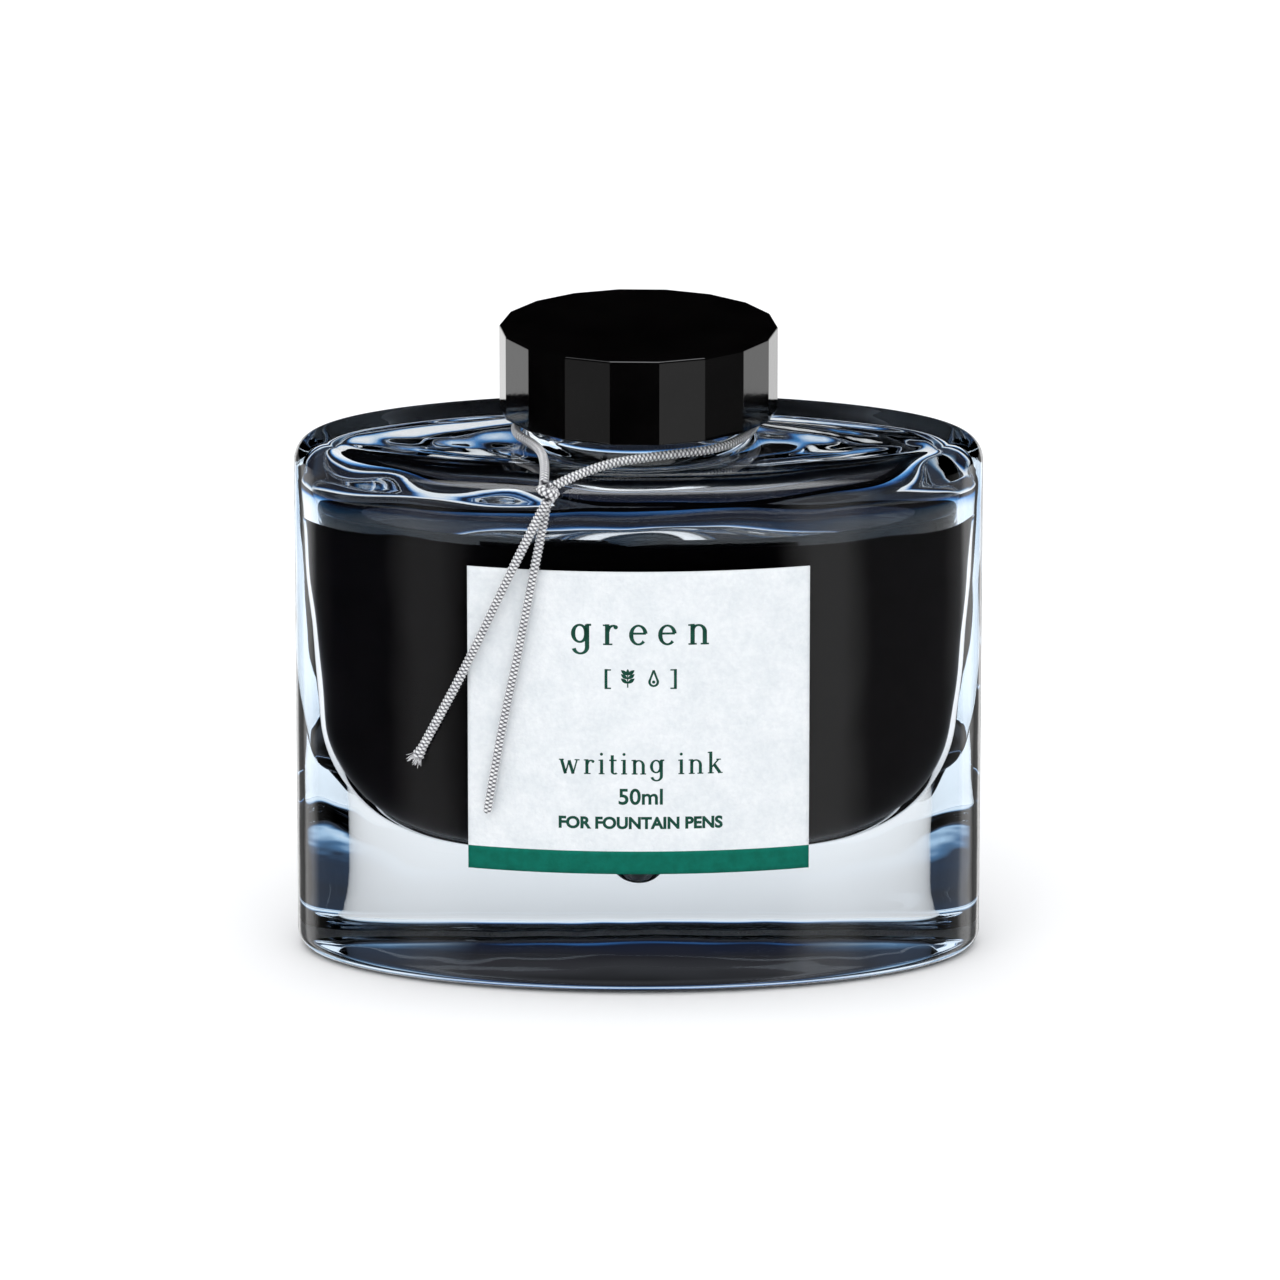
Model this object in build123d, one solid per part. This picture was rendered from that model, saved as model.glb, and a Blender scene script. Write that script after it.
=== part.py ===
from build123d import *

import os
from math import cos, pi, radians, sin, tan

# A heavy clear glass ink bottle, elliptical in plan, with a faceted screw cap, a paper label on its
# front wall, the ink inside and a thin braided cord tied round its neck.
# Millimetres. +Z is up, +X is along the bottle's width, and the label faces -Y.
# The origin is the middle of the base, on the surface that the bottle stands on.

# Bottle, outside
BODY_WIDTH = 80.0  # the ellipse's long axis, along X
BODY_DEPTH = 40.0  # the ellipse's short axis, along Y
SHOULDER_Z = 62.0  # the flat top of the body
RIM_RADIUS = 3.0  # rounding between the wall and the shoulder
HEEL_RADIUS = 2.0  # rounding between the wall and the base
REST_RING = 5.0  # width of the ring it stands on, measured in from the wall
PUNT_RISE = 1.0  # height of the shallow hollow underneath

# Bottle, inside
SIDE_WALL = 3.5  # at the ends of the long axis, under the shoulder
FRONT_WALL = 6.72  # at the front and back, under the shoulder: hidden, so set to make the ink 50 ml
CEILING = 3.4  # glass over the chamber
FLOOR_Z = 14.7  # the chamber's flat floor, over the thick base
WALL_LEAN = 3.7  # how much narrower the chamber is at its floor than at its ceiling, each side
FLOOR_CORNER = 14.0
CEILING_CORNER = 3.0
WELL_RADIUS = 6.5  # the conical well that gathers the last drops
WELL_SLOPE = 43.0  # degrees, of its side
WELL_TIP = 3.0  # rounding of its tip
HEAD_SPACE = 5.6  # from the chamber's ceiling down to the ink's surface
SKIN = 0.02  # gap left between the ink and the glass, and between the label and the glass

# Neck
NECK_RADIUS = 12.5  # under the thread
NECK_HEIGHT = 10.2
NECK_WALL = 2.0
NECK_FLARE = 1.5  # hollow rounding between the neck and the shoulder
MOUTH_FLARE = 1.5  # rounding where the mouth opens into the chamber
LIP_ROUNDING = 0.6

# Thread, on the neck and inside the cap
PITCH = 4.233
THREAD_HEIGHT = 1.1
THREAD_ROOT = 2.0  # width of a thread where it stands on its wall
THREAD_CREST = 0.9
NECK_THREAD_RISE = 3.87  # from the shoulder to the middle of the neck thread's lower end
NECK_THREAD_DROP = 1.25  # from the lip to the middle of its upper end
CAP_THREAD_DROP = 1.4  # from the liner to the middle of the cap thread's upper end
RADIAL_CLEARANCE = 0.25  # from each crest to the wall it faces
FLANK_CLEARANCE = 0.3  # under the neck's thread, where the cap's thread pulls

# Cap
CAP_SIDES = 18
CAP_CLOCKING = -1.65  # degrees, the turn of the facet that faces the front
CAP_GAP = 3.15  # room for the cord, between the shoulder and the cap's lower edge
CAP_WALL = 1.2  # at the middle of a facet
CAP_TOP_WALL = 1.2
CAP_BEVEL = 0.3
SLEEVE_WALL = 0.815
SLEEVE_TOP_WALL = 0.9
SLEEVE_RISE = 0.4  # the sleeve's lower edge sits this far up inside the cap
FIT = 0.03  # radial gap between the sleeve and the cap it is pressed into
LINER_THICKNESS = 0.8
SEAT = 0.05  # gap between pieces that rest on each other inside the cap
LINER_CLEARANCE = 0.25  # round the liner's edge

# Label
LABEL_HALF_WIDTH = 19.66
LABEL_BOTTOM_Z = 14.9
LABEL_TOP_MARGIN = 7.7  # from the label's top to where the wall starts to round over
LABEL_THICKNESS = 0.1

# Cord
CORD_DIAMETER = 1.1
LOOP_CLEARANCE = 0.55  # between the cord and the neck
LOOP_RISE = 1.6  # from the shoulder to the cord's own line
LOOP_SIDES = 6
KNOT_CENTRE = (-10.3, -20.55, 61.0)
KNOT_RADII = (1.3, 1.35, 1.3)

# Heights and radii that follow from the sizes above
CHAMBER_TOP_Z = SHOULDER_Z - CEILING
INK_Z = CHAMBER_TOP_Z - HEAD_SPACE
LABEL_TOP_Z = SHOULDER_Z - RIM_RADIUS - LABEL_TOP_MARGIN
MOUTH_RADIUS = NECK_RADIUS - NECK_WALL
LOOP_RADIUS = NECK_RADIUS + LOOP_CLEARANCE + CORD_DIAMETER / 2
LOOP_Z = SHOULDER_Z + LOOP_RISE
LIP_Z = SHOULDER_Z + NECK_HEIGHT
LINER_Z = LIP_Z + SEAT
SLEEVE_CEILING_Z = LINER_Z + LINER_THICKNESS + SEAT
SLEEVE_TOP_Z = SLEEVE_CEILING_Z + SLEEVE_TOP_WALL
CAP_TOP_Z = SLEEVE_TOP_Z + SEAT + CAP_TOP_WALL
CAP_BOTTOM_Z = SHOULDER_Z + CAP_GAP
CAP_HEIGHT = CAP_TOP_Z - CAP_BOTTOM_Z
SLEEVE_BORE_RADIUS = NECK_RADIUS + THREAD_HEIGHT + RADIAL_CLEARANCE
SLEEVE_OUTER_RADIUS = SLEEVE_BORE_RADIUS + SLEEVE_WALL
CAP_BORE_RADIUS = SLEEVE_OUTER_RADIUS + FIT
CAP_CORNER_RADIUS = (CAP_BORE_RADIUS + CAP_WALL) / cos(pi / CAP_SIDES)
SLEEVE_BOTTOM_Z = CAP_BOTTOM_Z + SLEEVE_RISE
NECK_THREAD_Z = SHOULDER_Z + NECK_THREAD_RISE
NECK_THREAD_TURNS = (LIP_Z - NECK_THREAD_DROP - NECK_THREAD_Z) / PITCH
CAP_THREAD_Z = SLEEVE_BOTTOM_Z + THREAD_ROOT / 2 + SEAT
CAP_THREAD_TURNS = (LINER_Z - CAP_THREAD_DROP - CAP_THREAD_Z) / PITCH
THREAD_SLOPE = (THREAD_ROOT - THREAD_CREST) / (2 * THREAD_HEIGHT)  # of each flank
THREAD_OFFSET = THREAD_ROOT - THREAD_SLOPE * (THREAD_HEIGHT + RADIAL_CLEARANCE) + FLANK_CLEARANCE
BURY = 0.4  # how deep a thread's foot is sunk in its wall
WELL_STUB = 2.0  # how far the well's shape runs up into the chamber

# The cord's two ends and its lead-ins to the loop, as points chosen by hand
LEFT_LEAD = [
    (-10.85, -19.65, 61.75),
    (-10.6, -16.6, 62.95),
    (-11.4, -9.6, 63.3),
]
RIGHT_LEAD = [
    (1.6, -14.6, 63.55),
    (-5.2, -17.1, 63.05),
    (-9.65, -20.0, 61.55),
]
LEFT_TAIL = [
    (-10.46, -21.4, 60.2),
    (-12.41, -21.0, 56.17),
    (-15.77, -19.8, 48.79),
    (-19.15, -18.6, 41.0),
    (-22.3, -17.55, 34.42),
    (-25.47, -16.3, 28.13),
]
RIGHT_TAIL = [
    (-10.4, -20.15, 59.9),
    (-11.16, -20.1, 55.6),
    (-12.44, -19.95, 49.09),
    (-13.73, -19.7, 41.95),
    (-15.13, -19.4, 35.38),
    (-16.43, -19.12, 28.41),
    (-17.49, -18.88, 21.92),
]


def flattened(face, ratio):
    """Turn a half-section (in the XZ plane) about Z, then flatten the result along Y."""
    return scale(revolve(face, axis=Axis.Z), by=(1, ratio, 1))


def half_section(points):
    """A face in the XZ plane through the given (x, z) points."""
    return Plane.XZ * Polygon(*points, align=None)


def upright_cylinder(radius, height):
    """A cylinder that stands on the XY plane."""
    return Cylinder(radius, height, align=(Align.CENTER, Align.CENTER, Align.MIN))


def flare_ring(radius, foot_z, rounding):
    """A ring with a hollow quarter-round outside, which eases a cylinder into the flat at foot_z."""
    square = Pos(radius + rounding / 2, foot_z + rounding / 2) * Rectangle(rounding, rounding)
    square -= Pos(radius + rounding, foot_z + rounding) * Circle(rounding)
    return revolve(Plane.XZ * square, axis=Axis.Z)


def thread(wall_radius, height, foot_z, turns, start_angle):
    """A helical ridge that stands out from its wall by height, or inwards when height is negative.

    Its flanks run on into the wall, so that they cut the wall's face cleanly.
    """
    foot = -BURY if height > 0 else BURY
    foot_half = THREAD_ROOT / 2 + BURY * THREAD_SLOPE
    crest_half = THREAD_CREST / 2
    section = Polygon(
        (foot, -foot_half), (height, -crest_half), (height, crest_half), (foot, foot_half), align=None
    )
    start = Plane(origin=(wall_radius, 0, 0), x_dir=(1, 0, 0), z_dir=(0, -1, 0))
    ridge = sweep(start * section, path=Helix(PITCH, PITCH * turns, wall_radius), is_frenet=True)
    return Pos(0, 0, foot_z) * Rot(0, 0, start_angle) * ridge


def chamber(gap=0.0):
    """The hollow for the ink: leaning elliptical walls, a rounded floor and a conical well."""
    top = BODY_WIDTH / 2 - SIDE_WALL - gap
    ratio = (BODY_DEPTH / 2 - FRONT_WALL - gap) / top
    floor = FLOOR_Z + gap
    ceiling = CHAMBER_TOP_Z - gap
    outline = half_section([(0, floor), (top - WALL_LEAN, floor), (top, ceiling), (0, ceiling)])
    low_corner = outline.vertices().sort_by(Axis.X)[-2]
    outline = fillet(low_corner, FLOOR_CORNER)
    high_corner = outline.vertices().sort_by(Axis.X)[-1]
    outline = fillet(high_corner, CEILING_CORNER)
    return flattened(outline, ratio) + well(gap)


def well(gap=0.0):
    """The well under the chamber: a cone that eases into a round tip, and a stub up into the chamber."""
    slope = radians(WELL_SLOPE)
    tip = WELL_TIP - gap
    top = WELL_RADIUS - gap
    low = tip * sin(slope)
    centre_z = FLOOR_Z - (WELL_RADIUS - WELL_TIP * sin(slope)) * tan(slope) + WELL_TIP * cos(slope)
    low_z = centre_z - tip * cos(slope)
    top_z = low_z + (top - low) * tan(slope)
    stub_z = FLOOR_Z + WELL_STUB
    section = half_section([(0, low_z), (low, low_z), (top, top_z), (top, stub_z), (0, stub_z)])
    return revolve(section, axis=Axis.Z) + Pos(0, 0, centre_z) * Sphere(tip)


def mouth():
    """The hole through the neck, widened where it meets the chamber."""
    hole = Pos(0, 0, CHAMBER_TOP_Z - 1) * upright_cylinder(MOUTH_RADIUS, LIP_Z - CHAMBER_TOP_Z + 2)
    return hole + flare_ring(MOUTH_RADIUS, CHAMBER_TOP_Z, MOUTH_FLARE)


def neck():
    """The neck, its hollow foot and its thread."""
    column = Pos(0, 0, SHOULDER_Z - 1) * upright_cylinder(NECK_RADIUS, NECK_HEIGHT + 1)
    column = fillet(column.edges().sort_by(Axis.Z)[-1], LIP_ROUNDING)
    ridge = thread(NECK_RADIUS, THREAD_HEIGHT, NECK_THREAD_Z, NECK_THREAD_TURNS, 0)
    return column + flare_ring(NECK_RADIUS, SHOULDER_Z, NECK_FLARE) + ridge


def punt():
    """The shallow dished hollow under the base."""
    half_width = BODY_WIDTH / 2 - REST_RING
    half_depth = BODY_DEPTH / 2 - REST_RING
    dish_radius = (half_width**2 + PUNT_RISE**2) / (2 * PUNT_RISE)
    dish = Plane.XZ * Pos(0, PUNT_RISE - dish_radius) * Circle(dish_radius)
    box = half_section([(0, -1), (half_width, -1), (half_width, PUNT_RISE + 1), (0, PUNT_RISE + 1)])
    return flattened(dish & box, half_depth / half_width)


def glass_bottle():
    """The whole bottle: one piece of moulded glass."""
    body = extrude(Ellipse(BODY_WIDTH / 2, BODY_DEPTH / 2), SHOULDER_Z)
    body = fillet(body.edges().sort_by(Axis.Z)[-1], RIM_RADIUS)
    body = fillet(body.edges().sort_by(Axis.Z)[0], HEEL_RADIUS)
    return body + neck() - mouth() - chamber() - punt()


def ink_fill():
    """The ink, up to its level surface."""
    return chamber(SKIN) - Pos(0, 0, INK_Z) * upright_cylinder(BODY_WIDTH, SHOULDER_Z)


def front_label():
    """A thin sheet that follows the front wall."""
    inner = Ellipse(BODY_WIDTH / 2 + SKIN, BODY_DEPTH / 2 + SKIN)
    outer = Ellipse(BODY_WIDTH / 2 + SKIN + LABEL_THICKNESS, BODY_DEPTH / 2 + SKIN + LABEL_THICKNESS)
    front = Pos(0, -BODY_DEPTH / 2) * Rectangle(2 * LABEL_HALF_WIDTH, BODY_DEPTH)
    sheet = (outer - inner) & front
    return Pos(0, 0, LABEL_BOTTOM_Z) * extrude(sheet, LABEL_TOP_Z - LABEL_BOTTOM_Z)


def cap_shell():
    """The faceted outside of the cap."""
    outline = Rot(0, 0, 90 + 180 / CAP_SIDES + CAP_CLOCKING) * RegularPolygon(CAP_CORNER_RADIUS, CAP_SIDES)
    block = Pos(0, 0, CAP_BOTTOM_Z) * extrude(outline, CAP_HEIGHT)
    block = chamfer(block.faces().sort_by(Axis.Z)[-1].edges(), CAP_BEVEL)
    return block - Pos(0, 0, CAP_BOTTOM_Z) * upright_cylinder(CAP_BORE_RADIUS, CAP_HEIGHT - CAP_TOP_WALL)


def cap_insert():
    """The plain sleeve inside the cap that carries the cap's thread."""
    sleeve = upright_cylinder(SLEEVE_OUTER_RADIUS, SLEEVE_TOP_Z - SLEEVE_BOTTOM_Z)
    sleeve -= upright_cylinder(SLEEVE_BORE_RADIUS, SLEEVE_CEILING_Z - SLEEVE_BOTTOM_Z)
    start_angle = 360 * (CAP_THREAD_Z + THREAD_OFFSET - NECK_THREAD_Z) / PITCH
    ridge = thread(SLEEVE_BORE_RADIUS, -THREAD_HEIGHT, CAP_THREAD_Z, CAP_THREAD_TURNS, start_angle)
    return Pos(0, 0, SLEEVE_BOTTOM_Z) * sleeve + ridge


def cap_liner():
    """The soft disc that seals against the lip."""
    radius = SLEEVE_BORE_RADIUS - LINER_CLEARANCE
    return Pos(0, 0, LINER_Z) * upright_cylinder(radius, LINER_THICKNESS)


def corner_radii(points):
    """The radius of each bend of a cord: 0.45 of its shorter run, over the tangent of half the turn."""
    vectors = [Vector(*p) for p in points]
    runs = [b - a for a, b in zip(vectors, vectors[1:])]
    bends = zip(runs, runs[1:])
    return [0.45 * min(r.length, s.length) / tan(radians(r.get_angle(s)) / 2) for r, s in bends]


def cord_tube(name, points):
    """A round cord along straight runs joined by tangent arcs."""
    radii = corner_radii(points)
    path = FilletPolyline(*points, radius=radii)
    section = Plane(origin=path @ 0, z_dir=path % 0) * Circle(CORD_DIAMETER / 2)
    tube = sweep(section, path=path)
    expected = pi * CORD_DIAMETER**2 / 4 * path.length
    print(f"{name}: length {path.length:.2f}, volume {tube.volume:.2f} of {expected:.2f}")
    print(f"{name} arcs:", [round(r, 2) for r in radii])
    return tube


def loop_points():
    """From the knot back past the left of the neck, round behind it and forward again to the knot."""
    corner = LOOP_RADIUS / cos(pi / LOOP_SIDES)
    angles = [195 - 360 / LOOP_SIDES * i for i in range(LOOP_SIDES - 1)]
    ring = [(corner * cos(radians(a)), corner * sin(radians(a)), LOOP_Z) for a in angles]
    return LEFT_LEAD + ring + RIGHT_LEAD


def cord_knot():
    """The small tight knot at the shoulder's front edge."""
    return Pos(*KNOT_CENTRE) * scale(Sphere(1), by=KNOT_RADII)


PARTS = {
    "glass_bottle": glass_bottle(),
    "ink_fill": ink_fill(),
    "front_label": front_label(),
    "cap_shell": cap_shell(),
    "cap_insert": cap_insert(),
    "cap_liner": cap_liner(),
    "cord_loop": cord_tube("cord_loop", loop_points()),
    "cord_knot": cord_knot(),
    "cord_tail_left": cord_tube("cord_tail_left", LEFT_TAIL),
    "cord_tail_right": cord_tube("cord_tail_right", RIGHT_TAIL),
}

os.makedirs("parts", exist_ok=True)
for node, shape in PARTS.items():
    export_step(shape, f"parts/{node}.step")
print(f"ink: {PARTS['ink_fill'].volume / 1000:.2f} ml")
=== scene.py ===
import math

import bmesh
import bpy
import numpy as np
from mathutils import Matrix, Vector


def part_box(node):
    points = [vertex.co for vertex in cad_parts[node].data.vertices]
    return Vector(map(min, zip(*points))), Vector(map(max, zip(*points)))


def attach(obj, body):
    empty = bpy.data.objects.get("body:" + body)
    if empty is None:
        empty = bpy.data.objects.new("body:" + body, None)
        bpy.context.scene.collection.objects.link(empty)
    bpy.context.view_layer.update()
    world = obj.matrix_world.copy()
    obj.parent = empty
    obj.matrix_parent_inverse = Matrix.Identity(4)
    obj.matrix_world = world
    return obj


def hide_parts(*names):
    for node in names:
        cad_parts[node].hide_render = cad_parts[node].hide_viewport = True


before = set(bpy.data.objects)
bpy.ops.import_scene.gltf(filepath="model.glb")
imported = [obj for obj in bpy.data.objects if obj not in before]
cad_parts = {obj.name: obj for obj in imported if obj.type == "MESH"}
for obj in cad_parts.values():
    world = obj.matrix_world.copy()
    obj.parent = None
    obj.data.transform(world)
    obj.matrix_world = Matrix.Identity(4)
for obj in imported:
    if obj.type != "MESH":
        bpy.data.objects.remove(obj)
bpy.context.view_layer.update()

# A heavy glass ink bottle with a faceted black cap, a printed label and a silver cord.
# Named sizes are in millimetres unless they carry MM, which turns them into the scene's metres. The overall
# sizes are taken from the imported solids.
MM = 0.001

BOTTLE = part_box("glass_bottle")
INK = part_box("ink_fill")
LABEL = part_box("front_label")
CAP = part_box("cap_shell")


# ---------------------------------------------------------------- camera

VIEW_DISTANCE = 1.2984
VIEW_ELEVATION = math.radians(16.87)
VIEW_TARGET = (0.17 * MM, 0.0, 37.08 * MM)
LENS = 312.97


def make_camera():
    """A long lens a little above the bottle, square to the label."""
    data = bpy.data.cameras.new("camera")
    data.lens = LENS
    data.clip_start = 0.05
    data.clip_end = 20
    camera = bpy.data.objects.new("camera", data)
    camera.location = (
        VIEW_TARGET[0],
        -VIEW_DISTANCE * math.cos(VIEW_ELEVATION),
        VIEW_TARGET[2] + VIEW_DISTANCE * math.sin(VIEW_ELEVATION),
    )
    camera.rotation_euler = (math.pi / 2 - VIEW_ELEVATION, 0, 0)
    bpy.context.scene.collection.objects.link(camera)
    bpy.context.scene.camera = camera


make_camera()


# ---------------------------------------------------------------- mesh tools


def solid(name, points, faces, look, body, slot, smooth=True):
    """Makes a mesh object from arrays in metres and rides it on its body, if it has one."""
    mesh = bpy.data.meshes.new(name)
    mesh.from_pydata(points.reshape(-1, 3).tolist(), [], faces)
    mesh.validate()
    if smooth:
        mesh.shade_smooth()
    else:
        mesh.shade_flat()
    mesh.materials.append(look)
    obj = bpy.data.objects.new(name, mesh)
    bpy.context.scene.collection.objects.link(obj)
    if body:
        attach(obj, body)
    return obj


def skin_over_rings(rings, first=None, last=None):
    """Points and faces of a closed skin over rings (ring, place, xyz). Given end points shut its ends with
    fans; otherwise the last ring joins the first. Rings that climb anticlockwise face outwards."""
    count, around, _ = rings.shape
    index = np.arange(count * around).reshape(count, around)
    low, high = (index[:-1], index[1:]) if first is not None else (index, np.roll(index, -1, 0))
    quads = np.stack([low, np.roll(low, -1, 1), np.roll(high, -1, 1), high], -1)
    quads = quads.reshape(-1, 4).tolist()
    points = rings.reshape(-1, 3)
    if first is None:
        return points, quads
    points = np.concatenate([points, [first, last]])
    start, end = len(points) - 2, len(points) - 1
    fan = [[start, b, a] for a, b in zip(index[0], np.roll(index[0], -1))]
    fan += [[end, a, b] for a, b in zip(index[-1], np.roll(index[-1], -1))]
    return points, quads + [list(map(int, f)) for f in fan]


def slab(front, back):
    """Points and faces of a thin closed sheet between two grids (row, column, xyz): two sides and a rim."""
    rows, columns, _ = front.shape
    behind = rows * columns
    index = np.arange(behind).reshape(rows, columns)
    corners = [index[:-1, :-1], index[:-1, 1:], index[1:, 1:], index[1:, :-1]]
    quads = np.stack(corners, -1).reshape(-1, 4)
    rim = np.concatenate([index[0, :-1], index[:-1, -1], index[-1, :0:-1], index[:0:-1, 0]])
    after = np.roll(rim, -1)
    edge = np.stack([after, rim, rim + behind, after + behind], -1)
    points = np.concatenate([front.reshape(-1, 3), back.reshape(-1, 3)])
    return points, np.concatenate([quads, quads[:, ::-1] + behind, edge]).tolist()


def on_axis(z):
    return np.array([0, 0, z]) * MM


def arc(centre, radius, start, end, count):
    """Points (across, up) on a circle, from one angle to another in degrees."""
    angle = np.radians(np.linspace(start, end, count))
    return centre[0] + radius * np.cos(angle), centre[1] + radius * np.sin(angle)


# ---------------------------------------------------------------- sizes of the glass

HALF_WIDTH = BOTTLE[1].x / MM
HALF_DEPTH = BOTTLE[1].y / MM
LIP_Z = BOTTLE[1].z / MM
INK_Z = INK[1].z / MM
NECK_HEIGHT = 10.2
SHOULDER_Z = LIP_Z - NECK_HEIGHT
RIM = 3.0  # rounding of the shoulder's outer edge
HEEL = 2.0  # rounding of the base's outer edge
REST_RING = 5.0  # how far in the hollow under the base starts
PUNT_RISE = 1.0  # how high that hollow climbs
SHOULDER_WALL = 3.4
SIDE_WALL = 3.5
FRONT_WALL = 6.72
CHAMBER_TOP_Z = SHOULDER_Z - SHOULDER_WALL
CHAMBER_HALF_WIDTH = HALF_WIDTH - SIDE_WALL
CHAMBER_SQUASH = (HALF_DEPTH - FRONT_WALL) / CHAMBER_HALF_WIDTH
WALL_LEAN = 3.7  # how far the side walls come in on their way down
FLOOR_Z = 14.7
FLOOR_CORNER = 14.0
CEILING_CORNER = 3.0
WELL_RADIUS = 6.5
WELL_SLOPE = 43.0  # degrees, of its side
WELL_TIP = 3.0
WELL_TURN = math.radians(WELL_SLOPE)
WELL_RUN = WELL_RADIUS - WELL_TIP * math.sin(WELL_TURN)
WELL_CENTRE_Z = FLOOR_Z - WELL_RUN * math.tan(WELL_TURN) + WELL_TIP * math.cos(WELL_TURN)
WELL_LOW_Z = WELL_CENTRE_Z - WELL_TIP
NECK_RADIUS = 12.5
NECK_FLARE = 1.5
MOUTH_RADIUS = 10.5
MOUTH_FLARE = 1.5  # rounding where the mouth's bore meets the chamber's ceiling
LIP_ROUNDING = 0.6
THREAD_PITCH = 4.233
THREAD_HEIGHT = 1.1
THREAD_HALF_BASE = 1.0
THREAD_FLANK = 0.55
THREAD_FADE = 0.5  # how far the helix climbs while the thread fades in or out
THREAD_LOW_Z = SHOULDER_Z + 3.87
THREAD_HIGH_Z = LIP_Z - 1.25
MOUTH_EDGE = MOUTH_RADIUS + MOUTH_FLARE
WAVE = 0.10  # size of the inside's slow waves, across the bottle
WAVE_DEPTH = 0.6  # their share of that from front to back
WAVE_ROOF = 3.0  # how many times that they move the ceiling up and down
WAVE_START = 12.0  # distance from the mouth's edge over which they grow
WAVE_LOW_Z = 12.0  # height where they start
WAVE_CLIMB = 10.0  # height over which they grow from there
ROOF_FADE = 4.0  # distance below the ceiling over which the ceiling's waves die away
INK_OVERLAP = 0.03  # how far the ink reaches into the glass
AROUND = 288


def chamber_profile():
    """The chamber's half-section from ceiling to floor, as (half-width, height): a rounded ceiling corner,
    a wall that leans in on its way down and a wide floor corner. A corner of radius r between two lines that
    meet at an angle g starts r / tan(g / 2) from where they meet."""
    lean = math.atan(WALL_LEAN / (CHAMBER_TOP_Z - FLOOR_Z))
    tilt = math.degrees(lean)
    high = CEILING_CORNER / math.tan((math.pi / 2 - lean) / 2)
    low = FLOOR_CORNER / math.tan((math.pi / 2 + lean) / 2)
    foot = CHAMBER_HALF_WIDTH - WALL_LEAN
    ceiling_centre = (CHAMBER_HALF_WIDTH - high, CHAMBER_TOP_Z - CEILING_CORNER)
    floor_centre = (foot - low, FLOOR_Z + FLOOR_CORNER)
    x1, z1 = arc(ceiling_centre, CEILING_CORNER, 90, -tilt, 12)
    x3, z3 = arc(floor_centre, FLOOR_CORNER, -tilt, -90, 30)
    x2 = np.linspace(x1[-1], x3[0], 26)[1:-1]
    z2 = np.linspace(z1[-1], z3[0], 26)[1:-1]
    return np.concatenate([x1, x2, x3]), np.concatenate([z1, z2, z3])


def well_profile():
    """The well, from its edge to just short of its lowest point, as (radius, height): a cone that eases into
    a ball of radius WELL_TIP. They meet where the ball's radius is square to the cone's side."""
    x2, z2 = arc((0, WELL_CENTRE_Z), WELL_TIP, WELL_SLOPE - 90, -86, 9)
    x1 = np.linspace(WELL_RADIUS, x2[0], 10)[:-1]
    z1 = np.linspace(FLOOR_Z, z2[0], 10)[:-1]
    return np.concatenate([x1, x2]), np.concatenate([z1, z2])


def inside_waves(angle, reach):
    """How far the inside of the glass strays from its true shape, in units of WAVE: a few slow waves that
    run round it by the angle and along its skin, from wall to ceiling, by the reach."""
    slow = np.sin(2 * angle + 0.11 * reach + 0.7) + 0.7 * np.sin(3 * angle - 0.17 * reach + 2.1)
    quick = 0.35 * np.sin(7 * angle + 0.45 * reach + 1.3) + 0.25 * np.sin(11 * angle - 0.7 * reach)
    return slow + quick


def thread_height(angle, z):
    """The neck's thread: a ridge with eased flanks, measured up and down from a helix, with faded ends."""
    lift = np.zeros_like(z * angle)
    climb = THREAD_HIGH_Z - THREAD_LOW_Z
    for turn in range(-1, 3):
        unrolled = angle + 2 * math.pi * turn
        along = (unrolled / (2 * math.pi)) * THREAD_PITCH
        fade = np.clip(np.minimum(along, climb - along) / THREAD_FADE + 0.5, 0, 1)
        off = np.abs(z - THREAD_LOW_Z - along)
        ridge = np.clip((THREAD_HALF_BASE - off) / THREAD_FLANK, 0, 1)
        ridge = ridge * ridge * (3 - 2 * ridge)
        lift = np.maximum(lift, ridge * fade)
    return THREAD_HEIGHT * lift


def ellipse_rings(across, deep, z, angle):
    """Rings (ring, place, xyz): half-widths and half-depths give an ellipse at each height."""
    x = across * np.cos(angle)
    y = deep * np.sin(angle)
    return np.stack([x, y, np.broadcast_to(z, x.shape)], -1) * MM


def column(values):
    """Values as a column, one row for each ring. A grid of values stays as it is."""
    values = np.asarray(values, float)
    return values.reshape(-1, 1) if values.ndim < 2 else values


def between(count):
    """Shares from 0 to 1 without the two ends, for rings that join two others."""
    return np.linspace(0, 1, count)[1:-1]


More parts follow.
